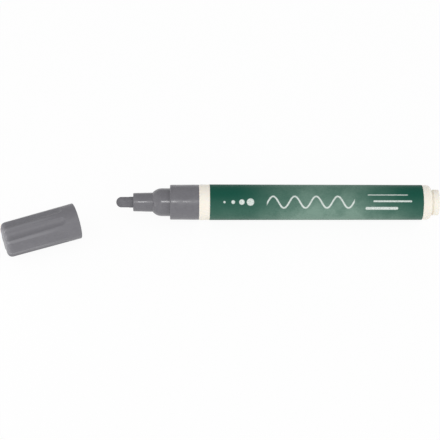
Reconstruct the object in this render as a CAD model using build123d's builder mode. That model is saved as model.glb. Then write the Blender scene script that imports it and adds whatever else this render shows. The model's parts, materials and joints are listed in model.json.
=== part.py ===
"""Liquid chalk marker: a valve-action marker lying on its side, with its cap taken off in front of the nib.

Millimetres. The marker's axis is X: the nib points to -X, the tail to +X, and Z is up.
The origin is on the axis at the collar's front face, where the rim of the cap seats.
"""
import math
import os

from build123d import *

# Nib: a round-tipped fibre rod that slides in the nose
nib_diameter = 4.57
nib_tip_diameter = 4.38
nib_length = 26.75
nib_reach = 7.1
nib_ground_length = 5.35
nib_ground_step = 0.3
nib_dome_height = 2.1
nib_rear_chamfer = 0.4
nib_clearance = 0.12
nib_travel = 2.0

# Nose section: nib sleeve, domed shoulder, neck and collar, with a spigot behind
nose_length = 15.4
sleeve_front_diameter = 7.65
sleeve_root_diameter = 8.03
sleeve_edge_radius = 0.3
dome_radius = 5.2
neck_diameter = 11.74
neck_length = 3.3
collar_front_diameter = 14.63
collar_rear_diameter = 14.79
collar_length = 12.1
collar_front_radius = 0.4
collar_rear_radius = 0.15
valve_socket_length = 12.1
nose_wall = 1.3

# Felt ring round the nib, in the nose's ink chamber
felt_valve_gap = 4.3
felt_nib_clearance = 0.2

# Barrel with a little mould draft, and the film round it
barrel_length = 97.85
barrel_front_diameter = 14.84
barrel_rear_diameter = 14.56
barrel_bore_diameter = 12.4
barrel_front_radius = 0.15
barrel_shoulder_radius = 2.3
barrel_ring_length = 4.55
label_start = 4.5
label_rear_bare = 4.0
label_film = 0.08

# Rear plug in the barrel's thick rear ring
plug_spigot_diameter = 9.6
plug_head_diameter = 10.8
plug_head_length = 3.15
plug_head_radius = 0.5
plug_groove_width = 0.65
plug_wall = 1.1

# Valve housing: pressed into the nose from behind, with a spring cage that stands in the ink
valve_housing_diameter = 9.8
valve_front_wall = 2.0
valve_orifice_diameter = 3.6
valve_seat_depth = 1.0
valve_chamber_diameter = 6.8
valve_flange_diameter = 11.6
valve_flange_thickness = 1.2
valve_cage_wall = 0.9
valve_window_count = 4
valve_window_width = 2.2
valve_window_margin = 0.8

# Valve stem and the rubber ring on it
stem_reach = 3.75
stem_pin_diameter = 2.3
stem_head_diameter = 4.8
stem_head_thickness = 1.2
stem_tail_diameter = 2.4
stem_stop_clearance = 0.1
stem_nib_clearance = 0.05
seal_section_diameter = 1.0
seal_clearance = 0.06

# Valve spring, and the retainer that it stands on
spring_length = 14.0
spring_turns = 7
spring_mean_diameter = 4.0
spring_wire_diameter = 0.45
spring_end_clearance = 0.05
retainer_plug_length = 1.5
retainer_flange_thickness = 1.0

# Mixing ball, lying on the floor of the reservoir
ball_diameter = 5.0
ball_clearance = 0.1
ball_place = 66.0

# Cap shell with tapering flutes, and the liner inside it
cap_closed_diameter = 14.66
cap_mouth_diameter = 15.0
cap_end_radius = 2.1
cap_rim_radius = 0.35
cap_neck_clearance = 0.1
cap_mouth_depth = 7.6
cap_end_wall = 1.8
cap_relief_depth = 4.5
cap_relief_step = 0.9
flute_count = 8
flute_cutter_radius = 3.5
flute_closed_depth = 1.12
flute_mouth_depth = 0.58
flute_edge_radius = 0.4
flute_phase = 22.0
plain_band_length = 5.4
liner_wall = 0.8
liner_draft = 0.06
liner_sleeve_clearance = 0.1
liner_end_wall = 1.0
liner_nib_room = 1.5
liner_lead_in = 0.4

# Where the cap lies: the centre of its mouth, and the turn of its axis from the marker's
cap_mouth_x = -38.64
cap_mouth_y = -9.48
cap_turn = 18.85

# Radii and stations that follow from the sizes above
nib_radius = nib_diameter / 2
nib_tip_x = -nose_length - nib_reach
nib_rear_x = nib_tip_x + nib_length
neck_radius = neck_diameter / 2
sleeve_root_radius = sleeve_root_diameter / 2
dome_centre_radius = neck_radius - dome_radius
dome_reach = math.sqrt(dome_radius**2 - (sleeve_root_radius - dome_centre_radius) ** 2)
crease_x = -neck_length - dome_reach
guide_radius = nib_radius + nib_clearance
chamber_radius = neck_radius - nose_wall
chamber_front_x = -neck_length
chamber_cone_x = chamber_front_x - (chamber_radius - guide_radius)

barrel_front_x = collar_length
barrel_rear_x = barrel_front_x + barrel_length
barrel_front_r = barrel_front_diameter / 2
barrel_rear_r = barrel_rear_diameter / 2
barrel_bore_r = barrel_bore_diameter / 2
label_length = barrel_length - label_start - label_rear_bare
ring_x = barrel_rear_x - barrel_ring_length
plug_spigot_r = plug_spigot_diameter / 2
plug_hollow_r = plug_spigot_r - plug_wall
plug_head_r = plug_head_diameter / 2
tail_x = barrel_rear_x + plug_head_length

valve_depth = nib_rear_x + stem_reach
spigot_rear_x = valve_depth + valve_socket_length
spigot_length = spigot_rear_x - collar_length
felt_length = valve_depth - felt_valve_gap - chamber_front_x
valve_housing_r = valve_housing_diameter / 2
valve_orifice_r = valve_orifice_diameter / 2
valve_chamber_r = valve_chamber_diameter / 2
valve_cage_r = valve_chamber_r + valve_cage_wall
valve_floor_x = valve_depth + valve_front_wall
seat_x = valve_floor_x - valve_seat_depth
flange_rear_x = spigot_rear_x + valve_flange_thickness

stem_pin_r = stem_pin_diameter / 2
seal_section_r = seal_section_diameter / 2
seal_ring_r = stem_pin_r + seal_section_r
seal_x = seat_x + seal_ring_r - valve_orifice_r + math.sqrt(2) * (seal_section_r + seal_clearance)
stem_head_x = seal_x + seal_section_r
spring_front_x = stem_head_x + stem_head_thickness
retainer_x = spring_front_x + spring_length
stem_tail_x = retainer_x - nib_travel - stem_stop_clearance
cage_rear_x = retainer_x + retainer_plug_length

cap_closed_r = cap_closed_diameter / 2
cap_mouth_r = cap_mouth_diameter / 2
mouth_bore_r = neck_radius + cap_neck_clearance
liner_bore_r = sleeve_root_radius + liner_sleeve_clearance
liner_r = liner_bore_r + liner_wall
liner_end_r = liner_r - liner_draft
relief_r = liner_end_r - cap_relief_step
liner_floor = -nib_tip_x + liner_nib_room
liner_end = liner_floor + liner_end_wall
cap_length = liner_end + cap_relief_depth + cap_end_wall


def barrel_radius(x):
    """Outer radius of the drafted barrel at a station along the axis."""
    share = (x - barrel_front_x) / barrel_length
    return barrel_front_r + (barrel_rear_r - barrel_front_r) * share


def cap_radius(depth):
    """Outer radius of the cap before its flutes are cut, at a depth from the mouth."""
    return cap_mouth_r + (cap_closed_r - cap_mouth_r) * depth / cap_length


def corner(sketch, x, radius):
    """The corner of a half section that lies at the given station and radius."""
    return sketch.vertices().sort_by_distance((x, radius))[0]


# Barrel: a drafted tube, closed down at the rear to a ring that holds the plug
with BuildPart() as barrel:
    with BuildSketch() as barrel_section:
        Polygon(
            (barrel_front_x, barrel_bore_r),
            (barrel_front_x, barrel_front_r),
            (barrel_rear_x, barrel_rear_r),
            (barrel_rear_x, plug_spigot_r),
            (ring_x, plug_spigot_r),
            (ring_x, barrel_bore_r),
            align=None,
        )
        fillet(corner(barrel_section, barrel_rear_x, barrel_rear_r), barrel_shoulder_radius)
        fillet(corner(barrel_section, barrel_front_x, barrel_front_r), barrel_front_radius)
    revolve(axis=Axis.X)

# Label: a film of even thickness on the barrel's drafted face
label_front_x = barrel_front_x + label_start
label_rear_x = label_front_x + label_length
with BuildPart() as label_wrap:
    with BuildSketch():
        Polygon(
            (label_front_x, barrel_radius(label_front_x)),
            (label_front_x, barrel_radius(label_front_x) + label_film),
            (label_rear_x, barrel_radius(label_rear_x) + label_film),
            (label_rear_x, barrel_radius(label_rear_x)),
            align=None,
        )
    revolve(axis=Axis.X)

# Rear plug: a hollow spigot in the ring, and a head that leaves a narrow groove behind the shoulder
plug_head_x = barrel_rear_x + plug_groove_width
with BuildPart() as rear_plug:
    with BuildSketch() as plug_section:
        Polygon(
            (ring_x, plug_hollow_r),
            (ring_x, plug_spigot_r),
            (plug_head_x, plug_spigot_r),
            (plug_head_x, plug_head_r),
            (tail_x, plug_head_r),
            (tail_x, 0),
            (tail_x - plug_wall, 0),
            (tail_x - plug_wall, plug_hollow_r),
            align=None,
        )
        fillet(corner(plug_section, tail_x, plug_head_r), plug_head_radius)
    revolve(axis=Axis.X)

# Nose section: the outside as the hand sees it, the inside with guide bore, felt chamber and valve socket
with BuildPart() as nose_section:
    with BuildSketch() as nose_section_face:
        with BuildLine():
            Polyline(
                (crease_x, sleeve_root_radius),
                (-nose_length, sleeve_front_diameter / 2),
                (-nose_length, guide_radius),
                (chamber_cone_x, guide_radius),
                (chamber_front_x, chamber_radius),
                (valve_depth, chamber_radius),
                (valve_depth, valve_housing_r),
                (spigot_rear_x, valve_housing_r),
                (collar_length + spigot_length, barrel_bore_r),
                (collar_length, barrel_bore_r),
                (collar_length, collar_rear_diameter / 2),
                (0, collar_front_diameter / 2),
                (0, neck_radius),
                (-neck_length, neck_radius),
            )
            TangentArc((-neck_length, neck_radius), (crease_x, sleeve_root_radius), tangent=(-1, 0))
        make_face()
        fillet(corner(nose_section_face, -nose_length, sleeve_front_diameter / 2), sleeve_edge_radius)
        fillet(corner(nose_section_face, 0, collar_front_diameter / 2), collar_front_radius)
        fillet(corner(nose_section_face, collar_length, collar_rear_diameter / 2), collar_rear_radius)
    revolve(axis=Axis.X)

# Nib: a fibre rod, ground a little thinner towards its round tip
nib_tip_r = nib_tip_diameter / 2
ground_x = nib_tip_x + nib_ground_length
with BuildPart() as nib:
    with BuildSketch():
        with BuildLine():
            TangentArc((nib_tip_x, 0), (nib_tip_x + nib_dome_height, nib_tip_r), tangent=(0, 1))
            Polyline(
                (nib_tip_x + nib_dome_height, nib_tip_r),
                (ground_x, nib_tip_r),
                (ground_x + nib_ground_step, nib_radius),
                (nib_rear_x - nib_rear_chamfer, nib_radius),
                (nib_rear_x, nib_radius - nib_rear_chamfer),
                (nib_rear_x, 0),
                (nib_tip_x, 0),
            )
        make_face()
    revolve(axis=Axis.X)

# Felt ring: fills the front of the ink chamber and leaves the nib free to slide
felt_rear_x = chamber_front_x + felt_length
with BuildPart() as nib_felt:
    with BuildSketch():
        Polygon(
            (chamber_front_x, nib_radius + felt_nib_clearance),
            (chamber_front_x, chamber_radius),
            (felt_rear_x, chamber_radius),
            (felt_rear_x, nib_radius + felt_nib_clearance),
            align=None,
        )
    revolve(axis=Axis.X)

# Valve housing: front wall with the cone seat, flange on the nose's spigot, cage with windows for the ink
window_front_x = flange_rear_x + valve_window_margin
window_length = retainer_x - valve_window_margin - window_front_x
window_plane = Plane.YZ.offset(window_front_x)
with BuildPart(window_plane) as valve_housing:
    with BuildSketch(Plane.XY):
        Polygon(
            (valve_depth, valve_orifice_r),
            (valve_depth, valve_housing_r),
            (spigot_rear_x, valve_housing_r),
            (spigot_rear_x, valve_flange_diameter / 2),
            (flange_rear_x, valve_flange_diameter / 2),
            (flange_rear_x, valve_cage_r),
            (cage_rear_x, valve_cage_r),
            (cage_rear_x, valve_chamber_r),
            (valve_floor_x, valve_chamber_r),
            (valve_floor_x, valve_orifice_r + valve_seat_depth),
            (seat_x, valve_orifice_r),
            align=None,
        )
    revolve(axis=Axis.X)
    with PolarLocations(0, valve_window_count):
        Box(
            2 * valve_cage_r,
            valve_window_width,
            window_length,
            align=(Align.MIN, Align.CENTER, Align.MIN),
            mode=Mode.SUBTRACT,
        )

# Valve stem: a pin that the nib pushes, a head that carries the seal, a tail that stops on the retainer
stem_front_x = nib_rear_x + stem_nib_clearance
with BuildPart() as valve_stem:
    with BuildSketch():
        Polygon(
            (stem_front_x, 0),
            (stem_front_x, stem_pin_r),
            (stem_head_x, stem_pin_r),
            (stem_head_x, stem_head_diameter / 2),
            (spring_front_x, stem_head_diameter / 2),
            (spring_front_x, stem_tail_diameter / 2),
            (stem_tail_x, stem_tail_diameter / 2),
            (stem_tail_x, 0),
            align=None,
        )
    revolve(axis=Axis.X)

# Valve seal: a rubber ring on the pin, against the stem's head and just short of the cone seat
with BuildPart() as valve_seal:
    with BuildSketch():
        with Locations((seal_x, seal_ring_r)):
            Circle(seal_section_r)
    revolve(axis=Axis.X)

# Valve retainer: a plain cap pressed into the cage's rear
with BuildPart() as valve_retainer:
    with BuildSketch():
        Polygon(
            (retainer_x, 0),
            (retainer_x, valve_chamber_r),
            (cage_rear_x, valve_chamber_r),
            (cage_rear_x, valve_cage_r),
            (cage_rear_x + retainer_flange_thickness, valve_cage_r),
            (cage_rear_x + retainer_flange_thickness, 0),
            align=None,
        )
    revolve(axis=Axis.X)

# Valve spring: one wire on a helix, each quarter turn drawn as two arcs that share a tangent
spring_r = spring_mean_diameter / 2
wire_r = spring_wire_diameter / 2
helix_front_x = spring_front_x + wire_r + spring_end_clearance
helix_length = spring_length - 2 * (wire_r + spring_end_clearance)
helix_rise = helix_length / (2 * math.pi * spring_turns)
quarters_per_turn = 4


def helix_point(angle):
    """Point of the spring's centre line after the given turn, in radians."""
    return Vector(helix_front_x + helix_rise * angle, spring_r * math.cos(angle), spring_r * math.sin(angle))


def helix_tangent(angle):
    """Direction of the spring's centre line after the given turn."""
    return Vector(helix_rise, -spring_r * math.sin(angle), spring_r * math.cos(angle)).normalized()


def shared_point(start, start_tangent, end, end_tangent):
    """Where two arcs meet that leave the start and reach the end along the given tangents."""
    chord = end - start
    both = start_tangent + end_tangent
    bend = 2 * (1 - start_tangent.dot(end_tangent))
    reach = (math.sqrt(chord.dot(both) ** 2 + bend * chord.dot(chord)) - chord.dot(both)) / bend
    return (start + end + (start_tangent - end_tangent) * reach) * 0.5


with BuildPart() as valve_spring:
    with BuildLine() as spring_path:
        for quarter in range(spring_turns * quarters_per_turn):
            first = 2 * math.pi * quarter / quarters_per_turn
            last = 2 * math.pi * (quarter + 1) / quarters_per_turn
            middle = shared_point(helix_point(first), helix_tangent(first), helix_point(last), helix_tangent(last))
            lead_arc = TangentArc(helix_point(first), middle, tangent=helix_tangent(first))
            TangentArc(middle, helix_point(last), tangent=lead_arc % 1)
    with BuildSketch(Plane(origin=helix_point(0), z_dir=helix_tangent(0))):
        Circle(wire_r)
    sweep()

# Mixing ball: loose in the reservoir, on the barrel's floor
ball_r = ball_diameter / 2
ball_z = -(barrel_bore_r - ball_r - ball_clearance)
with BuildPart() as mixing_ball:
    with Locations((ball_place, 0, ball_z)):
        Sphere(ball_r)

# The cap's own frame: Z runs from the middle of the mouth to the closed end, X points up
turn = math.radians(cap_turn)
cap_inward = Vector(-math.cos(turn), -math.sin(turn), 0)
cap_plane = Plane(origin=(cap_mouth_x, cap_mouth_y, 0), x_dir=(0, 0, 1), z_dir=cap_inward)
cap_axis = Axis(cap_plane.origin, cap_inward)
section_plane = Plane(origin=cap_plane.origin, x_dir=cap_inward, z_dir=(0, 0, 1))

# One flute cutter: a round-ended bar outside the cap, leaning in towards the closed end
runout_depth = plain_band_length + math.sqrt(2 * flute_cutter_radius * flute_mouth_depth)
cutter_mouth_r = cap_radius(runout_depth) + flute_cutter_radius - flute_mouth_depth
cutter_closed_r = cap_closed_r + flute_cutter_radius - flute_closed_depth
cutter_run = Vector(cutter_closed_r - cutter_mouth_r, 0, cap_length - runout_depth)
with BuildPart(Plane(origin=(cutter_mouth_r, 0, runout_depth), z_dir=cutter_run)) as flute_cutter:
    Sphere(flute_cutter_radius)
    Cylinder(flute_cutter_radius, cap_length, align=(Align.CENTER, Align.CENTER, Align.MIN))

# Cap shell: closed and rounded at one end, bored in three steps for neck, liner and moulding core
with BuildPart(cap_plane) as cap_shell:
    with BuildSketch(section_plane) as cap_section:
        Polygon(
            (0, mouth_bore_r),
            (0, cap_mouth_r),
            (cap_length, cap_closed_r),
            (cap_length, 0),
            (cap_length - cap_end_wall, 0),
            (cap_length - cap_end_wall, relief_r),
            (liner_end, relief_r),
            (liner_end, liner_end_r),
            (cap_mouth_depth, liner_r),
            (cap_mouth_depth, mouth_bore_r),
            align=None,
        )
        fillet(corner(cap_section.sketch_local, cap_length, cap_closed_r), cap_end_radius)
        fillet(corner(cap_section.sketch_local, 0, cap_mouth_r), cap_rim_radius)
    revolve(axis=cap_axis)
    with PolarLocations(0, flute_count, start_angle=flute_phase):
        add(flute_cutter.part, mode=Mode.SUBTRACT)
    fillet(cap_shell.edges().filter_by(GeomType.BSPLINE), flute_edge_radius)

# Inner cap: a soft drafted thimble in the shell, with a lead-in for the nib sleeve
with BuildPart() as inner_cap:
    with BuildSketch(section_plane) as liner_section:
        Polygon(
            (cap_mouth_depth, liner_bore_r + liner_lead_in),
            (cap_mouth_depth, liner_r),
            (liner_end, liner_end_r),
            (liner_end, 0),
            (liner_floor, 0),
            (liner_floor, liner_bore_r),
            (cap_mouth_depth + liner_lead_in, liner_bore_r),
            align=None,
        )
    revolve(axis=cap_axis)


def least_spring_gap(steps_per_turn=72):
    """Least gap between neighbouring turns of the spring's wire, measured on points of its centre line."""
    count = spring_turns * steps_per_turn
    points = [helix_point(2 * math.pi * step / steps_per_turn) for step in range(count + 1)]
    apart = steps_per_turn // 2
    pairs = ((a, b) for a in range(count + 1) for b in range(a + apart, count + 1))
    return min((points[a] - points[b]).length for a, b in pairs) - spring_wire_diameter


pieces = {
    "barrel": barrel,
    "label_wrap": label_wrap,
    "rear_plug": rear_plug,
    "nose_section": nose_section,
    "nib": nib,
    "nib_felt": nib_felt,
    "valve_housing": valve_housing,
    "valve_stem": valve_stem,
    "valve_seal": valve_seal,
    "valve_spring": valve_spring,
    "valve_retainer": valve_retainer,
    "mixing_ball": mixing_ball,
    "cap_shell": cap_shell,
    "inner_cap": inner_cap,
}

os.makedirs("parts", exist_ok=True)
for name, piece in pieces.items():
    piece.part.label = name
    export_step(piece.part, f"parts/{name}.step")

print(f"marker {tail_x - nib_tip_x:.2f} long, capped {tail_x + cap_length:.2f}")
print(f"spring's least gap to itself {least_spring_gap():.3f}")
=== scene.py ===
# %% [markdown]
# A liquid chalk marker lies on a white table with its fluted cap taken off beside it.
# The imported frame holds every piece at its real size, so the lesson starts by loading it.
# All lengths are metres, and MM turns a size in millimetres into one.

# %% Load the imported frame
import json
import math

import bmesh
import bpy
from mathutils import Matrix, Vector


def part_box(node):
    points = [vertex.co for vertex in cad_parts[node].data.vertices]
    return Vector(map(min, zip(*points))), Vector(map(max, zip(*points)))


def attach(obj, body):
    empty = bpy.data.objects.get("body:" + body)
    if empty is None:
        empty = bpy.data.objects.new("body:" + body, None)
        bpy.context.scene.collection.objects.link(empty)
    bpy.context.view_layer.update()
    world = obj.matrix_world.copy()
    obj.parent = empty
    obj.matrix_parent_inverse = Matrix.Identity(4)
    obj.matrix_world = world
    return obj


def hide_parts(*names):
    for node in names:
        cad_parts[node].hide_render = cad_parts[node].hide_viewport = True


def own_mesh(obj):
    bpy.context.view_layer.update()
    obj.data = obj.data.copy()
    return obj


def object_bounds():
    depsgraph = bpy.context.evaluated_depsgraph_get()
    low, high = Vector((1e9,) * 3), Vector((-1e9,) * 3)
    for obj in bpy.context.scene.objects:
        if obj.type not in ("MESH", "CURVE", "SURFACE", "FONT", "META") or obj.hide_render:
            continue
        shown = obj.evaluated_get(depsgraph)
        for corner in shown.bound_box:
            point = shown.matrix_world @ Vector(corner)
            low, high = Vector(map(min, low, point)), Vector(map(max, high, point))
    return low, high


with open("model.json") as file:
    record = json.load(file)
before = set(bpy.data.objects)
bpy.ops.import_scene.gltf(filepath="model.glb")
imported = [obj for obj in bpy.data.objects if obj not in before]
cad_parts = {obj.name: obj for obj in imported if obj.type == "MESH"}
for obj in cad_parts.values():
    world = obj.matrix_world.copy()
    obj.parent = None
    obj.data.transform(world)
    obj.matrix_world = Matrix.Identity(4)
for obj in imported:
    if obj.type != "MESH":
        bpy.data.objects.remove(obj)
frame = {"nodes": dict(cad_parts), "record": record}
cad_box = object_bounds()
MM = 0.001
mounts = {mount["name"]: mount for mount in frame["record"]["mounts"]}

# %% [markdown]
# Barrel, nose, nib and cap are all round, so one helper makes each of them from half an outline.
# A primitive cylinder would leave every corner sharp. Here the corners of a wire outline are
# bevelled first, as a mould maker breaks an edge, and the wire is then spun about the axis.

# %% A helper that spins half an outline into a closed piece
TURN_STEPS = 144
ROUND_SEGMENTS = 6
MERGE = 0.0001 * MM
SHARP_ANGLE = math.radians(32)


def wire(outline, closed):
    """Draw half an outline of (x, radius, rounding) corners and round the ones that ask for it."""
    bm = bmesh.new()
    corners = [bm.verts.new((x, 0.0, radius)) for x, radius, _ in outline]
    following = corners[1:] + corners[:1] if closed else corners[1:]
    for start, end in zip(corners, following):
        bm.edges.new((start, end))
    for corner, (_, _, rounding) in zip(corners, outline):
        if rounding:
            bmesh.ops.bevel(bm, geom=[corner], offset=rounding, offset_type="OFFSET", affect="VERTICES",
                            segments=ROUND_SEGMENTS, profile=0.5, clamp_overlap=True, material=-1)
    return bm


def spin(bm, steps=TURN_STEPS):
    """Turn a wire about the X axis and close its seam and its poles."""
    bmesh.ops.spin(bm, geom=bm.verts[:] + bm.edges[:], cent=(0, 0, 0), axis=(1, 0, 0),
                   angle=2 * math.pi, steps=steps, use_merge=True)
    bmesh.ops.remove_doubles(bm, verts=bm.verts, dist=MERGE)
    bmesh.ops.recalc_face_normals(bm, faces=bm.faces)


def finished(bm, name, body, node):
    """Make the smooth-shaded object that stands for a node and rides on its body."""
    for face in bm.faces:
        face.smooth = True
    open_edges = sum(1 for edge in bm.edges if not edge.is_manifold)
    mesh = bpy.data.meshes.new(name)
    bm.to_mesh(mesh)
    bm.free()
    mesh.set_sharp_from_angle(angle=SHARP_ANGLE)
    piece = bpy.data.objects.new(name, mesh)
    bpy.context.scene.collection.objects.link(piece)
    even = piece.modifiers.new("even shading", "WEIGHTED_NORMAL")
    even.keep_sharp = True
    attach(piece, body)
    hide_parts(node)
    print(name, "faces", len(mesh.polygons), "open edges", open_edges)
    return piece


def arc(centre_x, centre_radius, radius, start, end, count):
    """Points on a round stretch of an outline, from one angle to the other."""
    angles = [start + (end - start) * step / count for step in range(count + 1)]
    return [(centre_x + radius * math.cos(a), centre_radius + radius * math.sin(a), 0) for a in angles]


# %% [markdown]
# The nose is one grey moulding: a sleeve round the nib, a domed shoulder, the neck that the cap
# slips over and the wide collar that is gripped. Its inside is the nib guide, the felt chamber and
# the socket of the valve. The dome is an arc by formula, and it meets the sleeve in a crease.

# %% The nose section
neck_r = mounts["cap_seat"]["dims"]["r_mm"] * MM
neck_length = mounts["cap_seat"]["dims"]["length_mm"] * MM
nose_low, nose_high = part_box("nose_section")
barrel_low, barrel_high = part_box("barrel")
valve_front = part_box("valve_housing")[0].x

sleeve_front_r = 3.825 * MM
sleeve_root_r = 4.015 * MM
sleeve_rounding = 0.3 * MM
dome_r = 5.2 * MM
dome_points = 20
guide_r = 2.405 * MM
nose_wall = 1.3 * MM
chamber_r = neck_r - nose_wall
valve_socket_r = 4.9 * MM
barrel_bore_r = 6.2 * MM
collar_draft = 0.08 * MM
collar_front_rounding = 0.4 * MM
collar_rear_rounding = 0.15 * MM
neck_fillet = 0.2 * MM

dome_centre_r = neck_r - dome_r
crease_angle = math.pi - math.asin((sleeve_root_r - dome_centre_r) / dome_r)
dome = arc(-neck_length, dome_centre_r, dome_r, crease_angle, math.pi / 2, dome_points)
nose_outline = [
    (nose_low.x, guide_r, 0),
    (nose_low.x, sleeve_front_r, sleeve_rounding),
    *dome,
    (0, neck_r, neck_fillet),
    (0, nose_high.z - collar_draft, collar_front_rounding),
    (barrel_low.x, nose_high.z, collar_rear_rounding),
    (barrel_low.x, barrel_bore_r, 0),
    (nose_high.x, barrel_bore_r, 0),
    (nose_high.x, valve_socket_r, 0),
    (valve_front, valve_socket_r, 0),
    (valve_front, chamber_r, 0),
    (-neck_length, chamber_r, 0),
    (-neck_length - chamber_r + guide_r, guide_r, 0),
]
nose_mesh = wire(nose_outline, closed=True)
spin(nose_mesh)
nose = finished(nose_mesh, "nose_moulding", "marker", "nose_section")

# %% [markdown]
# The nib is a rod of pressed fibre, ground a little thinner towards a round tip. It slides in the
# nose, so it is a piece of its own and rides on the nib's body.

# %% The nib
nib_low, nib_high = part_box("nib")
nib_r = nib_high.z
nib_tip_r = 2.19 * MM
nib_dome_height = 2.1 * MM
nib_dome_points = 16
nib_ground_length = 5.35 * MM
nib_ground_step = 0.3 * MM
nib_ground_rounding = 0.25 * MM
nib_rear_chamfer = 0.4 * MM

nib_tip_ball = (nib_tip_r ** 2 + nib_dome_height ** 2) / (2 * nib_dome_height)
nib_tip_angle = math.asin(nib_tip_r / nib_tip_ball)
nib_tip = arc(nib_low.x + nib_tip_ball, 0, nib_tip_ball, math.pi, math.pi - nib_tip_angle, nib_dome_points)
ground_end = nib_low.x + nib_ground_length
nib_outline = [
    *nib_tip,
    (ground_end, nib_tip_r, nib_ground_rounding),
    (ground_end + nib_ground_step, nib_r, nib_ground_rounding),
    (nib_high.x - nib_rear_chamfer, nib_r, 0),
    (nib_high.x, nib_r - nib_rear_chamfer, 0),
    (nib_high.x, 0, 0),
]
nib_mesh = wire(nib_outline, closed=False)
spin(nib_mesh)
nib = finished(nib_mesh, "nib_fibre_rod", "nib", "nib")

# %% [markdown]
# The barrel is a drafted tube of cream plastic. It is closed down at the rear to a ring, which
# holds the tail plug, and its shoulder there is well rounded.

# %% The barrel
plug_low, plug_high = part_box("rear_plug")
barrel_draft = 0.14 * MM
barrel_front_rounding = 0.15 * MM
shoulder_rounding = 2.3 * MM
ring_r = 4.8 * MM


def barrel_radius(x):
    """Outer radius of the drafted barrel at a place along it."""
    share = (x - barrel_low.x) / (barrel_high.x - barrel_low.x)
    return barrel_high.z - barrel_draft * share


barrel_outline = [
    (barrel_low.x, barrel_bore_r, 0),
    (barrel_low.x, barrel_high.z, barrel_front_rounding),
    (barrel_high.x, barrel_radius(barrel_high.x), shoulder_rounding),
    (barrel_high.x, ring_r, 0),
    (plug_low.x, ring_r, 0),
    (plug_low.x, barrel_bore_r, 0),
]
barrel_mesh = wire(barrel_outline, closed=True)
spin(barrel_mesh)
barrel = finished(barrel_mesh, "barrel_tube", "marker", "barrel")

# %% [markdown]
# The label is a printed film wrapped round the barrel, a little short of both ends. Its edge is
# thin enough to see only as a line, so it is a closed wall of its true thickness.

# %% The label film
label_low, label_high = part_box("label_wrap")
label_film = 0.08 * MM
label_outline = [
    (label_low.x, barrel_radius(label_low.x), 0),
    (label_low.x, barrel_radius(label_low.x) + label_film, 0),
    (label_high.x, barrel_radius(label_high.x) + label_film, 0),
    (label_high.x, barrel_radius(label_high.x), 0),
]
label_mesh = wire(label_outline, closed=True)
spin(label_mesh)
label = finished(label_mesh, "label_film_wrap", "marker", "label_wrap")

# %% [markdown]
# The tail plug is pressed into the barrel's ring. Its head stands a little behind the shoulder,
# which leaves the narrow shadow groove at the tail.

# %% The tail plug
plug_head_x = mounts["tail_stub"]["pos_m"][0]
plug_head_r = mounts["tail_stub"]["dims"]["r_mm"] * MM
plug_wall = 1.1 * MM
plug_front_rounding = 0.2 * MM
plug_head_rounding = 0.5 * MM
plug_outline = [
    (plug_high.x - plug_wall, 0, 0),
    (plug_high.x - plug_wall, ring_r - plug_wall, 0),
    (plug_low.x, ring_r - plug_wall, 0),
    (plug_low.x, ring_r, 0),
    (plug_head_x, ring_r, 0),
    (plug_head_x, plug_head_r, plug_front_rounding),
    (plug_high.x, plug_head_r, plug_head_rounding),
    (plug_high.x, 0, 0),
]
plug_mesh = wire(plug_outline, closed=False)
spin(plug_mesh)
plug = finished(plug_mesh, "tail_plug", "marker", "rear_plug")

# %% [markdown]
# The cap is a closed tube with eight flutes that run out before its mouth. On the tool they are cut
# by a round-ended bar that leans in towards the closed end, so here the same bar is worked out for
# each point of the spun wall. A smooth minimum of wall and cut rounds the ribs' edges, and the
# rounding of the closed end sinks with the flutes.

# %% The cap's outline, in its own frame with X running inwards from the mouth
mouth_place = Vector(mounts["cap_mouth"]["pos_m"])
cap_inward = -Vector(mounts["cap_mouth"]["axis"])


def cap_reach(name):
    """How far a piece of the cap reaches inwards from the middle of the mouth."""
    node = frame["nodes"][name]
    return max((node.matrix_world @ vert.co - mouth_place).dot(cap_inward) for vert in node.data.vertices)


bore_r = mounts["cap_mouth"]["dims"]["r_mm"] * MM
bore_depth = mounts["cap_mouth"]["dims"]["length_mm"] * MM
cap_length = cap_reach("cap_shell")
liner_end_depth = cap_reach("inner_cap")
cap_mouth_r = 7.5 * MM
cap_closed_r = 7.33 * MM
cap_end_rounding = 2.1 * MM
cap_rim_rounding = 0.35 * MM
cap_inner_rim_rounding = 0.2 * MM
cap_end_wall = 1.8 * MM
liner_seat_r = 4.915 * MM
liner_end_r = 4.855 * MM
relief_r = 3.955 * MM
cap_wall_cuts = 110
cap_steps = 288

cap_outline = [
    (cap_length, 0, 0),
    (cap_length, cap_closed_r, cap_end_rounding),
    (0, cap_mouth_r, cap_rim_rounding),
    (0, bore_r, cap_inner_rim_rounding),
    (bore_depth, bore_r, 0),
    (bore_depth, liner_seat_r, 0),
    (liner_end_depth, liner_end_r, 0),
    (liner_end_depth, relief_r, 0),
    (cap_length - cap_end_wall, relief_r, 0),
    (cap_length - cap_end_wall, 0, 0),
]
cap_mesh = wire(cap_outline, closed=False)
outer_wall = max(cap_mesh.edges, key=lambda edge: edge.calc_length())
bmesh.ops.subdivide_edges(cap_mesh, edges=[outer_wall], cuts=cap_wall_cuts)
spin(cap_mesh, steps=cap_steps)
print("cap", round(cap_length / MM, 2), "mm long, before its flutes", len(cap_mesh.verts), "points")

# %% The bar that cuts the flutes
flute_count = 8
flute_phase = math.radians(22.0)
cutter_r = 3.5 * MM
flute_closed_depth = 1.12 * MM
flute_mouth_depth = 0.58 * MM
plain_band = 5.4 * MM
rib_softness = 0.22 * MM


def cap_radius(depth):
    """Outer radius of the cap before its flutes are cut."""
    return cap_mouth_r + (cap_closed_r - cap_mouth_r) * depth / cap_length


runout = plain_band + math.sqrt(2 * cutter_r * flute_mouth_depth)
bar_at_mouth = cap_radius(runout) + cutter_r - flute_mouth_depth
bar_at_end = cap_closed_r + cutter_r - flute_closed_depth
print("flutes at full width", round(runout / MM, 2), "mm behind the mouth")


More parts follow.
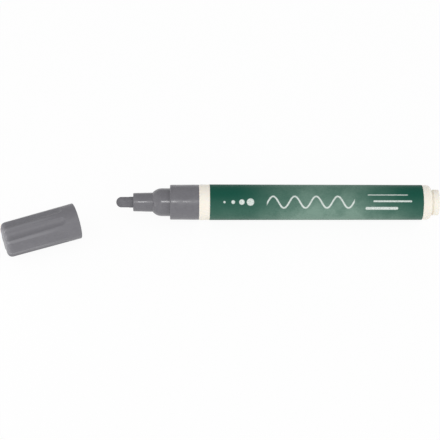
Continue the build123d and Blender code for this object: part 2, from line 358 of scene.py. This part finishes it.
def cut_radius(depth, off_centre):
    """How far from the cap's axis the cutter leaves the wall, at an angle from a flute's middle."""
    share = max(0.0, (depth - runout) / (cap_length - runout))
    bar = bar_at_mouth + (bar_at_end - bar_at_mouth) * share
    ball_end = max(0.0, runout - depth)
    room = cutter_r ** 2 - ball_end ** 2 - (bar * math.sin(off_centre)) ** 2
    return bar * math.cos(off_centre) - math.sqrt(room) if room > 0 else math.inf


def smooth_minimum(wall, cut):
    """The smaller of two radii, blended where they are within the rib's softness."""
    if cut - wall > rib_softness:
        return wall
    share = min(1.0, max(0.0, 0.5 + 0.5 * (cut - wall) / rib_softness))
    return cut + (wall - cut) * share - rib_softness * share * (1 - share)


# %% Sink the flutes into the cap's outer wall
skin_depth = 0.6 * MM
flute_pitch = 2 * math.pi / flute_count
moved = 0
for vert in cap_mesh.verts:
    depth = vert.co.x
    radius = math.hypot(vert.co.y, vert.co.z)
    inside_r = bore_r if depth <= liner_end_depth else relief_r
    if radius < inside_r + skin_depth:
        continue
    angle = math.atan2(-vert.co.y, vert.co.z) - flute_phase
    off_centre = (angle + flute_pitch / 2) % flute_pitch - flute_pitch / 2
    wall = cap_radius(depth)
    sink = wall - smooth_minimum(wall, cut_radius(depth, off_centre))
    vert.co.y *= 1 - sink / radius
    vert.co.z *= 1 - sink / radius
    moved += sink > 0
print("points moved by the flutes", moved)

# %% Lay the cap where the frame has it
up = Vector((0, 0, 1))
cap_side = up.cross(cap_inward)
cap_place = Matrix((cap_inward, cap_side, up)).transposed().to_4x4()
cap_place.translation = mouth_place
bmesh.ops.transform(cap_mesh, matrix=cap_place, verts=cap_mesh.verts)
cap = finished(cap_mesh, "cap_fluted_shell", "cap", "cap_shell")

# %% [markdown]
# The finishes are node materials. A few small helpers keep them readable: one adds a node and fills
# its inputs, and the others do sums, steps, blends and noise. Every pattern reads Object coordinates,
# which are metres here, so a texture scale of one over a length gives features of that length.

# %% Helpers for node materials


def put(tree, kind, inputs=None, **options):
    """Add a node, set its options and fill its inputs with values or with other nodes' outputs."""
    node = tree.nodes.new(kind)
    for option, value in options.items():
        setattr(node, option, value)
    for socket, value in (inputs or {}).items():
        if isinstance(value, bpy.types.NodeSocket):
            tree.links.new(value, node.inputs[socket])
        else:
            node.inputs[socket].default_value = value
    return node


def calc(tree, operation, *values, clamp=False):
    """The result of a sum on values or outputs."""
    inputs = dict(enumerate(values))
    return put(tree, "ShaderNodeMath", inputs, operation=operation, use_clamp=clamp).outputs[0]


def away(tree, value, centre):
    """How far a value is from a centre, to either side."""
    return calc(tree, "ABSOLUTE", calc(tree, "SUBTRACT", value, centre))


def diagonal(tree, first, second):
    """The diagonal over two lengths that stand at right angles."""
    squares = [calc(tree, "MULTIPLY", side, side) for side in (first, second)]
    return calc(tree, "SQRT", calc(tree, "ADD", *squares))


def ease(tree, value, low, high, start=0.0, end=1.0):
    """A smooth step from one number to another as the value goes from low to high."""
    inputs = {"Value": value, "From Min": low, "From Max": high, "To Min": start, "To Max": end}
    return put(tree, "ShaderNodeMapRange", inputs, interpolation_type="SMOOTHSTEP").outputs[0]


def blend(tree, share, first, second):
    """A colour between two colours."""
    inputs = {0: share, 6: first, 7: second}
    return put(tree, "ShaderNodeMix", inputs, data_type="RGBA").outputs[2]


def noise(tree, place, scale, detail, roughness=0.5):
    """Soft noise with features of one over the scale."""
    inputs = {"Vector": place, "Scale": scale, "Detail": detail, "Roughness": roughness}
    return put(tree, "ShaderNodeTexNoise", inputs).outputs[0]


def object_place(tree):
    """The place of a shaded point in its object's own coordinates."""
    return put(tree, "ShaderNodeTexCoord").outputs["Object"]


def new_material(name):
    """An empty material with its Principled shader, and the tree to build in."""
    material = bpy.data.materials.new(name)
    material.use_nodes = True
    return material, material.node_tree, material.node_tree.nodes["Principled BSDF"]


def dress(material, *objects):
    """Put one material on whole objects."""
    for piece in objects:
        piece.data.materials.clear()
        piece.data.materials.append(material)
    print(material.name, "on", [piece.name for piece in objects])


# %% [markdown]
# Moulded plastic is never quite even: its skin has slow waves from cooling and a fine grain from
# the mould. A highlight shows the waves as a broken streak. Several pieces share this, so it is a
# node group that puts out a tone, for colour and roughness, and a height, for the bump.

# %% The moulded skin group
GROUP_FLOAT = "NodeSocketFloat"
SKIN_INPUTS = {"Wave Scale": 600.0, "Grain Scale": 9000.0, "Grain Share": 0.1}


def new_group(name, inputs, outputs):
    """A shader node group with named float sockets."""
    group = bpy.data.node_groups.new(name, "ShaderNodeTree")
    for socket, value in inputs.items():
        made = group.interface.new_socket(socket, in_out="INPUT", socket_type=GROUP_FLOAT)
        made.default_value = value
    for socket in outputs:
        group.interface.new_socket(socket, in_out="OUTPUT", socket_type=GROUP_FLOAT)
    return group, group.nodes.new("NodeGroupInput"), group.nodes.new("NodeGroupOutput")


moulded_skin, skin_in, skin_out = new_group("moulded_skin", SKIN_INPUTS, ["Tone", "Height"])
skin_place = object_place(moulded_skin)
wave = noise(moulded_skin, skin_place, skin_in.outputs["Wave Scale"], detail=1.0)
grain = noise(moulded_skin, skin_place, skin_in.outputs["Grain Scale"], detail=2.0)
grain_part = calc(moulded_skin, "MULTIPLY", grain, skin_in.outputs["Grain Share"])
skin_height = calc(moulded_skin, "ADD", wave, grain_part)
skin_tone = calc(moulded_skin, "MULTIPLY", calc(moulded_skin, "ADD", wave, grain), 0.5)
moulded_skin.links.new(skin_height, skin_out.inputs["Height"])
moulded_skin.links.new(skin_tone, skin_out.inputs["Tone"])
print("group", moulded_skin.name, [socket.name for socket in moulded_skin.interface.items_tree])

# %% A moulded finish that uses the group
TONE_LIMITS = (0.3, 0.7)
ROUGH_LIMITS = (0.4, 0.6)


def moulded(name, dark, light, wave_size, wave_height, roughness):
    """A moulded plastic between two close colours, with waves of the given size and height."""
    material, tree, shader = new_material(name)
    skin = put(tree, "ShaderNodeGroup", node_tree=moulded_skin)
    skin.inputs["Wave Scale"].default_value = 1 / wave_size
    tone = skin.outputs["Tone"]
    colour = blend(tree, ease(tree, tone, *TONE_LIMITS), dark, light)
    bump = put(tree, "ShaderNodeBump", {"Height": skin.outputs["Height"], "Distance": wave_height})
    tree.links.new(colour, shader.inputs["Base Color"])
    tree.links.new(ease(tree, tone, *ROUGH_LIMITS, *roughness), shader.inputs["Roughness"])
    tree.links.new(bump.outputs[0], shader.inputs["Normal"])
    return material, shader


# %% [markdown]
# Nose and cap are the same satin grey, and the cap's is painted a shade lighter, a painted lift for
# the light that falls on it. The waves are two or three millimetres long and one or two hundredths of
# one high. The barrel is cream and lets a little light in, and its plug is painted a slightly whiter
# cream, a painted lift for the extra light on the tail.

# %% Grey and cream plastics
nose_grey, nose_shader = moulded(
    "nose_grey", (0.147, 0.144, 0.159, 1), (0.167, 0.164, 0.179, 1),
    wave_size=2.8 * MM, wave_height=0.02 * MM, roughness=(0.2, 0.42))
# The cap's grey is painted a shade lighter than the nose's, a painted lift for the light on it.
cap_grey, cap_shader = moulded(
    "cap_grey", (0.154, 0.151, 0.166, 1), (0.172, 0.169, 0.184, 1),
    wave_size=1.8 * MM, wave_height=0.012 * MM, roughness=(0.4, 0.46))
cream, cream_shader = moulded(
    "cream_plastic", (0.9, 0.845, 0.75, 1), (0.92, 0.865, 0.775, 1),
    wave_size=2.5 * MM, wave_height=0.01 * MM, roughness=(0.45, 0.55))
# The plug's cream is painted whiter than the barrel's, a painted lift for the extra light on the tail.
plug_cream, plug_shader = moulded(
    "plug_cream", (0.93, 0.885, 0.795, 1), (0.95, 0.905, 0.82, 1),
    wave_size=2.5 * MM, wave_height=0.01 * MM, roughness=(0.45, 0.55))

cream_depth_share = 0.15
cream_depth_tint = (1.0, 0.8, 0.6)
cream_depth = 0.8 * MM
for shader in (cream_shader, plug_shader):
    shader.inputs["Subsurface Weight"].default_value = cream_depth_share
    shader.inputs["Subsurface Radius"].default_value = cream_depth_tint
    shader.inputs["Subsurface Scale"].default_value = cream_depth
dress(nose_grey, nose)
dress(cap_grey, cap)
dress(cream, barrel)
dress(plug_cream, plug)

# %% [markdown]
# The cap seals on the neck, so the mould is polished there and the satin skin gives way to a
# smoother one. The polish starts on the dome and ends at the collar's face.

# %% The polished neck
polish_run = 0.8 * MM
polish_end = 0.05 * MM
polish_roughness = 0.22
nose_tree = nose_grey.node_tree
nose_x = put(nose_tree, "ShaderNodeSeparateXYZ", {0: object_place(nose_tree)}).outputs[0]
past_dome = ease(nose_tree, nose_x, -neck_length - polish_run, -neck_length)
before_collar = ease(nose_tree, nose_x, -polish_end, 0.0, 1.0, 0.0)
on_neck = calc(nose_tree, "MULTIPLY", past_dome, before_collar)
satin = nose_shader.inputs["Roughness"].links[0].from_socket
polished = put(nose_tree, "ShaderNodeMix", {0: on_neck, 2: satin, 3: polish_roughness}).outputs[0]
nose_tree.links.new(polished, nose_shader.inputs["Roughness"])
print("neck polished over", round(neck_length / MM, 1), "mm")

# %% [markdown]
# The ribs get a painted highlight: they are painted a little lighter than the flutes, most of all
# towards the closed end. The angle round the cap's own axis says how near a point is to a rib, so a
# cosine that repeats with the flutes is the mask.

# %% Painted highlight on the ribs
rib_highlight_start = 0.65
rib_highlight_radius = (6.2 * MM, 6.9 * MM)
rib_highlight_tint = (0.215, 0.212, 0.228, 1)
rib_highlight_share = 0.8
rib_highlight_full = 18 * MM
cap_tree = cap_grey.node_tree
from_mouth = put(cap_tree, "ShaderNodeVectorMath", {0: object_place(cap_tree), 1: mouth_place},
                 operation="SUBTRACT").outputs[0]


def from_mouth_along(direction):
    """How far a point of the cap lies from the middle of the mouth in a direction."""
    inputs = {0: from_mouth, 1: direction}
    return put(cap_tree, "ShaderNodeVectorMath", inputs, operation="DOT_PRODUCT").outputs["Value"]


beside = from_mouth_along(cap_side)
above = from_mouth_along(up)
inwards = from_mouth_along(cap_inward)
cap_angle = calc(cap_tree, "ARCTAN2", calc(cap_tree, "MULTIPLY", beside, -1.0), above)
past_flute = calc(cap_tree, "SUBTRACT", cap_angle, flute_phase)
rib_turn = calc(cap_tree, "MULTIPLY", past_flute, flute_count)
rib_nearness = calc(cap_tree, "MULTIPLY", calc(cap_tree, "COSINE", rib_turn), -1.0)
on_rib = ease(cap_tree, rib_nearness, rib_highlight_start, 1.0)
on_wall = ease(cap_tree, diagonal(cap_tree, beside, above), *rib_highlight_radius)
on_flutes = ease(cap_tree, inwards, plain_band, rib_highlight_full, 0.0, rib_highlight_share)
# Painted highlight: the ribs' crests are painted lighter in place of the highlight that the light puts on
# them.
painted = calc(cap_tree, "MULTIPLY", calc(cap_tree, "MULTIPLY", on_rib, on_wall), on_flutes)
plain_colour = cap_shader.inputs["Base Color"].links[0].from_socket
painted_highlight_colour = blend(cap_tree, painted, plain_colour, rib_highlight_tint)
cap_tree.links.new(painted_highlight_colour, cap_shader.inputs["Base Color"])
print("ribs rubbed lighter from", round(plain_band / MM, 1), "mm behind the mouth")

# %% [markdown]
# Pressed fibre has hairs that run along the rod, so its noise is stretched along X. The nib and the
# felt ring share the group, with a fine and a coarse setting.

# %% The fibre group, the nib and the felt
hair_stretch = (0.12, 1, 1)
hair_detail = 4.0
hair_tangle = 0.65
FIBRE_ROUGHNESS = (0.8, 0.95)
fibre_group, fibre_in, fibre_out = new_group("pressed_fibre", {"Hair Scale": 4000.0}, ["Tone", "Height"])
stretched = put(fibre_group, "ShaderNodeMapping",
                {"Vector": object_place(fibre_group), "Scale": hair_stretch}).outputs[0]
hairs = noise(fibre_group, stretched, fibre_in.outputs["Hair Scale"], hair_detail, hair_tangle)
fibre_group.links.new(ease(fibre_group, hairs, *TONE_LIMITS), fibre_out.inputs["Tone"])
fibre_group.links.new(hairs, fibre_out.inputs["Height"])


def fibre(name, dark, light, hair_size, hair_height):
    """A matte fibre finish between two colours."""
    material, tree, shader = new_material(name)
    hair = put(tree, "ShaderNodeGroup", node_tree=fibre_group)
    hair.inputs["Hair Scale"].default_value = 1 / hair_size
    tone = hair.outputs["Tone"]
    bump = put(tree, "ShaderNodeBump", {"Height": hair.outputs["Height"], "Distance": hair_height})
    tree.links.new(blend(tree, tone, dark, light), shader.inputs["Base Color"])
    tree.links.new(ease(tree, tone, 0, 1, *FIBRE_ROUGHNESS), shader.inputs["Roughness"])
    tree.links.new(bump.outputs[0], shader.inputs["Normal"])
    return material


nib_finish = fibre("pressed_nib", (0.13, 0.128, 0.142, 1), (0.21, 0.207, 0.223, 1),
                   hair_size=0.25 * MM, hair_height=0.06 * MM)
felt_finish = fibre("felt_grey", (0.22, 0.22, 0.235, 1), (0.36, 0.36, 0.38, 1),
                    hair_size=0.6 * MM, hair_height=0.15 * MM)
dress(nib_finish, nib)
dress(felt_finish, frame["nodes"]["nib_felt"])

# %% [markdown]
# The label is printed to look like a wiped chalkboard: dark green with a pale haze of dust that is
# strongest in the middle. Along the lower side the same pale green is painted light, which stands in
# for the light that falls on that side. The pattern is laid out flat, with one number for the way
# along the barrel and one for the way round it from the side that faces up and front. Both are
# millimetres, as on a printer's drawing.

# %% The label's flat layout
label_facing = math.radians(35)
label_middle_r = barrel_radius((label_low.x + label_high.x) / 2)
label_length_mm = (label_high.x - label_low.x) / MM
label_round_mm = 2 * math.pi * label_middle_r / MM

label_finish, label_tree, label_shader = new_material("label_print")
label_place = object_place(label_tree)
label_turned = put(label_tree, "ShaderNodeMapping",
                   {"Vector": label_place, "Rotation": (-label_facing, 0, 0)}).outputs[0]
label_axes = put(label_tree, "ShaderNodeSeparateXYZ", {0: label_turned}).outputs
along_start = calc(label_tree, "SUBTRACT", label_axes[0], label_low.x)
along = calc(label_tree, "DIVIDE", along_start, MM)
round_angle = calc(label_tree, "ARCTAN2", label_axes[1], label_axes[2])
around = calc(label_tree, "MULTIPLY", round_angle, label_middle_r / MM)
print("label laid flat", round(label_length_mm, 1), "by", round(label_round_mm, 1), "mm")

# %% The chalkboard ground
haze_middle = 47.5
haze_reach = 38.0
haze_share = 0.62
# Painted light: the lower side of the label is painted a paler green, which stands in for the light that
# falls on that side.
painted_light_side = (4.0, -11.0)
painted_light_middle = 57.0
painted_light_reach = 40.0
painted_light_share = (0.65, 0.3)
far_side = (13.0, 20.0)
cloud_size = 9 * MM
cloud_gain = (0.65, 1.3)
speck_size = 0.5 * MM
speck_gain = (0.85, 1.15)
noise_limits = (0.25, 0.75)
board_green = (0.006, 0.08, 0.053, 1)
dust_and_light_green = (0.19, 0.3, 0.245, 1)

haze_bell = ease(label_tree, away(label_tree, along, haze_middle), 0.0, haze_reach, haze_share, 0.0)
painted_light_along = ease(label_tree, away(label_tree, along, painted_light_middle), 0.0, painted_light_reach, *painted_light_share)
painted_low_light = calc(label_tree, "MULTIPLY", ease(label_tree, around, *painted_light_side), painted_light_along)
near_side = ease(label_tree, calc(label_tree, "ABSOLUTE", around), *far_side, 1.0, 0.0)
dust_and_painted_light = calc(label_tree, "ADD", haze_bell, calc(label_tree, "MULTIPLY", painted_low_light, near_side))
clouds = noise(label_tree, label_place, 1 / cloud_size, detail=4.0, roughness=0.6)
specks = noise(label_tree, label_place, 1 / speck_size, detail=3.0, roughness=0.7)
cloudy = ease(label_tree, clouds, *noise_limits, *cloud_gain)
speckled = ease(label_tree, specks, *noise_limits, *speck_gain)
dust_and_painted_light_clouds = calc(label_tree, "MULTIPLY", dust_and_painted_light, cloudy)
# haze holds the printed dust haze and, on the lower side, the painted light.
haze = calc(label_tree, "MULTIPLY", dust_and_painted_light_clouds, speckled, clamp=True)
ground = blend(label_tree, haze, board_green, dust_and_light_green)
print("haze around", haze_middle, "mm along")

# %% [markdown]
# Chalk drawings go over the ground: dots that grow, one long wave and three ruled strokes, the
# sort of marks that are drawn to try a marker out. Each is the distance to a simple line, so its
# edge can be roughened with the same specks before it is cut to a mask.

# %% Chalk dots and strokes
chalk_edge = 0.16
chalk_ragged = 0.35
speck_middle = 0.5


def chalk_line(distance, half_width):
    """A ragged mask that is one within the half width of a line."""
    off_middle = calc(label_tree, "SUBTRACT", specks, speck_middle)
    ragged = calc(label_tree, "MULTIPLY", off_middle, chalk_ragged * 2)
    rough_distance = calc(label_tree, "ADD", distance, ragged)
    return ease(label_tree, rough_distance, half_width - chalk_edge, half_width + chalk_edge, 1.0, 0.0)


def past_span(start, end):
    """How far a point of the label lies past the nearer end of a span along it."""
    return calc(label_tree, "SUBTRACT", away(label_tree, along, (start + end) / 2), (end - start) / 2)


def stroke_distance(start, end, height):
    """Distance to a straight stroke that runs along the label."""
    beyond = calc(label_tree, "MAXIMUM", past_span(start, end), 0.0)
    aside = calc(label_tree, "SUBTRACT", around, height)
    return diagonal(label_tree, beyond, aside)


dot_start = 6.0
dot_step = 3.6
dot_length = 0.01
dot_sizes = (0.45, 0.75, 1.1, 1.5)
strokes = ((66.0, 82.5, 3.1, 0.18), (68.5, 84.0, 0.4, 0.35), (65.5, 78.0, -2.6, 0.6))
marks = []
for number, size in enumerate(dot_sizes):
    dot_place = dot_start + dot_step * number
    marks.append(chalk_line(stroke_distance(dot_place, dot_place + dot_length, 0.0), size))
for start, end, height, half_width in strokes:
    marks.append(chalk_line(stroke_distance(start, end, height), half_width))
print("dots", len(dot_sizes), "strokes", len(strokes))

# %% One long wave
wave_span = (24.0, 60.0)
wave_length = 9.0
wave_height = 2.4
wave_half_width = 0.33
wave_rate = 2 * math.pi / wave_length
from_wave_start = calc(label_tree, "SUBTRACT", along, wave_span[0])
wave_turn = calc(label_tree, "MULTIPLY", from_wave_start, wave_rate)
wave_rise = calc(label_tree, "MULTIPLY", calc(label_tree, "SINE", wave_turn), wave_height)
wave_slope = calc(label_tree, "MULTIPLY", calc(label_tree, "COSINE", wave_turn), wave_rate * wave_height)
wave_steep = diagonal(label_tree, wave_slope, 1.0)
wave_off = calc(label_tree, "DIVIDE", away(label_tree, around, wave_rise), wave_steep)
wave_distance = calc(label_tree, "MAXIMUM", wave_off, past_span(*wave_span))
marks.append(chalk_line(wave_distance, wave_half_width))
print("chalk marks", len(marks))

# %% Chalk over the ground
chalk_white = (0.74, 0.8, 0.76, 1)
dust_limits = (0.3, 0.6)
dust_share = (0.55, 1.0)
chalk = marks[0]
for mark in marks[1:]:
    chalk = calc(label_tree, "MAXIMUM", chalk, mark)
dusty = ease(label_tree, specks, *dust_limits, *dust_share)
printed = blend(label_tree, calc(label_tree, "MULTIPLY", chalk, dusty), ground, chalk_white)
print("chalk covers", dust_share, "of the ground, from dusty to full")

# %% [markdown]
# The film meets itself at the back in a lap, which shows as a thin dark line along the label.

# %% The lap seam
seam_width = 0.25
seam_dark = (0.003, 0.03, 0.02, 1)
half_way_round = label_round_mm / 2
to_seam = calc(label_tree, "SUBTRACT", half_way_round, calc(label_tree, "ABSOLUTE", around))
on_seam = ease(label_tree, to_seam, seam_width / 2, seam_width, 1.0, 0.0)
lapped = blend(label_tree, on_seam, printed, seam_dark)
print("lap seam", round(half_way_round, 1), "mm round from the front")

# %% The film's sheen
film_grain = 0.004 * MM
film_roughness = (0.42, 0.52)
film_specular = 0.15
film_bump = put(label_tree, "ShaderNodeBump", {"Height": specks, "Distance": film_grain})
film_sheen = ease(label_tree, clouds, *TONE_LIMITS, *film_roughness)
label_tree.links.new(lapped, label_shader.inputs["Base Color"])
label_tree.links.new(film_sheen, label_shader.inputs["Roughness"])
label_tree.links.new(film_bump.outputs[0], label_shader.inputs["Normal"])
label_shader.inputs["Specular IOR Level"].default_value = film_specular
dress(label_finish, label)

# %% [markdown]
# The rest is inside and shows only when the marker is taken apart: valve mouldings, seal, spring,
# ball and the cap's liner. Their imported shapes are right, so they only get their finishes.

# %% Inner mouldings, rubber and steel
natural, _ = moulded(
    "natural_plastic", (0.8, 0.8, 0.78, 1), (0.86, 0.86, 0.85, 1),
    wave_size=2 * MM, wave_height=0.01 * MM, roughness=(0.35, 0.5))
liner_finish, _ = moulded(
    "soft_liner", (0.72, 0.72, 0.7, 1), (0.8, 0.8, 0.78, 1),
    wave_size=3 * MM, wave_height=0.02 * MM, roughness=(0.4, 0.55))
rubber, _ = moulded(
    "black_rubber", (0.02, 0.02, 0.02, 1), (0.04, 0.04, 0.04, 1),
    wave_size=0.6 * MM, wave_height=0.02 * MM, roughness=(0.6, 0.8))
spring_steel, spring_shader = moulded(
    "drawn_wire", (0.5, 0.5, 0.51, 1), (0.62, 0.62, 0.63, 1),
    wave_size=0.4 * MM, wave_height=0.004 * MM, roughness=(0.2, 0.35))
ball_steel, ball_shader = moulded(
    "polished_ball", (0.58, 0.58, 0.59, 1), (0.66, 0.66, 0.67, 1),
    wave_size=1 * MM, wave_height=0.002 * MM, roughness=(0.08, 0.16))
spring_shader.inputs["Metallic"].default_value = 1.0
ball_shader.inputs["Metallic"].default_value = 1.0
nodes = frame["nodes"]
dress(natural, nodes["valve_housing"], nodes["valve_stem"], nodes["valve_retainer"])
dress(liner_finish, nodes["inner_cap"])
dress(rubber, nodes["valve_seal"])
dress(spring_steel, nodes["valve_spring"])
dress(ball_steel, nodes["mixing_ball"])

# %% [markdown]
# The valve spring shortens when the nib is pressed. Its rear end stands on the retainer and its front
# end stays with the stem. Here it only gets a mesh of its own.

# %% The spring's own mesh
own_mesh(nodes["valve_spring"])

# %% [markdown]
# The studio is a white table. The camera sees it as plain white, and so do reflections, but a part
# of it stays matte paper so that it keeps the object's soft shadow.

# %% The table
table_size = 3.0
table_glow = 0.93
table_albedo = (0.92, 0.92, 0.92, 1)
table_material, table_tree, _ = new_material("table_paper")
table_tree.nodes.clear()
paths = put(table_tree, "ShaderNodeLightPath").outputs
mirrored = calc(table_tree, "MAXIMUM", paths["Is Glossy Ray"], paths["Is Transmission Ray"])
seen = calc(table_tree, "MAXIMUM", paths["Is Camera Ray"], mirrored)
glow_share = calc(table_tree, "MULTIPLY", seen, table_glow)
paper = put(table_tree, "ShaderNodeBsdfDiffuse", {"Color": table_albedo}).outputs[0]
glow = put(table_tree, "ShaderNodeEmission", {"Strength": 1.0}).outputs[0]
table_mix = put(table_tree, "ShaderNodeMixShader", {0: glow_share, 1: paper, 2: glow})
put(table_tree, "ShaderNodeOutputMaterial", {"Surface": table_mix.outputs[0]})

table_mesh = bpy.data.meshes.new("table")
table_bm = bmesh.new()
bmesh.ops.create_grid(table_bm, x_segments=1, y_segments=1, size=table_size / 2)
bmesh.ops.translate(table_bm, verts=table_bm.verts, vec=(0, 0, cad_box[0][2]))
table_bm.to_mesh(table_mesh)
table_bm.free()
table = bpy.data.objects.new("table", table_mesh)
bpy.context.scene.collection.objects.link(table)
dress(table_material, table)

# %% [markdown]
# The camera looks down on the marker from the front, from well back and with a long lens, so that
# nose and tail are seen almost square on. It is rolled a little, as it was in the photograph.

# %% The camera
camera_azimuth = math.radians(3.76)
camera_elevation = math.radians(55.0)
camera_roll = math.radians(3.11)
camera_distance = 684 * MM
camera_target = Vector((20.8, -9.1, 0)) * MM
sensor_width = 36.0
focal_pixels = 1641.0
frame_pixels = 440.0

forward = Vector((math.sin(camera_azimuth) * math.cos(camera_elevation),
                  math.cos(camera_azimuth) * math.cos(camera_elevation), -math.sin(camera_elevation)))
level_right = forward.cross(up).normalized()
level_up = level_right.cross(forward)
view_right = math.cos(camera_roll) * level_right + math.sin(camera_roll) * level_up
view_up = math.cos(camera_roll) * level_up - math.sin(camera_roll) * level_right
camera_data = bpy.data.cameras.new("camera")
camera_data.sensor_width = sensor_width
camera_data.lens = focal_pixels / frame_pixels * sensor_width
camera = bpy.data.objects.new("camera", camera_data)
camera.matrix_world = Matrix((view_right, view_up, -forward)).transposed().to_4x4()
camera.matrix_world.translation = camera_target - forward * camera_distance
bpy.context.scene.collection.objects.link(camera)
bpy.context.scene.camera = camera
print("camera at", [round(value, 4) for value in camera.matrix_world.translation])

# %% [markdown]
# The light is a soft white tent that is dimmer behind the object. A small lamp beside the lens draws
# the thin streak along the grey nose, and a weak card beyond the cap lifts its closed end.

# %% The lamp beside the lens
lamp_size = 26 * MM
lamp_power = 0.6
lamp_right = -30 * MM
lamp_up = 48 * MM
lamp_data = bpy.data.lights.new("lens lamp", "AREA")
lamp_data.shape = "DISK"
lamp_data.size = lamp_size
lamp_data.energy = lamp_power
lamp = bpy.data.objects.new("lens lamp", lamp_data)
lamp.matrix_world = camera.matrix_world
lamp.matrix_world.translation += view_right * lamp_right + view_up * lamp_up
bpy.context.scene.collection.objects.link(lamp)
print("lamp", lamp_power, "W")

# %% The card beyond the cap
card_width = 60 * MM
card_height = 40 * MM
card_power = 0.02
card_gap = 60 * MM
card_data = bpy.data.lights.new("cap card", "AREA")
card_data.shape = "RECTANGLE"
card_data.size = card_width
card_data.size_y = card_height
card_data.energy = card_power
card = bpy.data.objects.new("cap card", card_data)
card.matrix_world = Matrix((-cap_side, up, cap_inward)).transposed().to_4x4()
card.matrix_world.translation = mouth_place + cap_inward * (cap_length + card_gap) + up * card_height / 4
bpy.context.scene.collection.objects.link(card)
print("card", card_power, "W")

# %% The tent
tent_front = 0.89
tent_back = 0.53
tent_left = 0.54
tent_right = 0.87
tent_depth_limits = (-0.9, 0.6)
tent_left_limits = (-0.4, -1.0)
tent_right_limits = (0.4, 1.0)
world = bpy.data.worlds.new("tent")
world.use_nodes = True
world_tree = world.node_tree
world_tree.nodes.clear()
tent_place = put(world_tree, "ShaderNodeTexCoord").outputs["Generated"]
tent_way = put(world_tree, "ShaderNodeSeparateXYZ", {0: tent_place}).outputs
tent_depth = ease(world_tree, tent_way[1], *tent_depth_limits, tent_front, tent_back)
left_light = ease(world_tree, tent_way[0], *tent_left_limits, 0.0, tent_left)
right_light = ease(world_tree, tent_way[0], *tent_right_limits, 0.0, tent_right)
tent_sides = calc(world_tree, "ADD", left_light, right_light)
tent_light = calc(world_tree, "ADD", tent_depth, tent_sides)
tent = put(world_tree, "ShaderNodeBackground", {"Color": (1, 1, 1, 1), "Strength": tent_light})
put(world_tree, "ShaderNodeOutputWorld", {"Surface": tent.outputs[0]})
bpy.context.scene.world = world
bpy.context.scene.view_settings.view_transform = "Standard"
print("tent", tent_front, "in front and", tent_back, "behind")
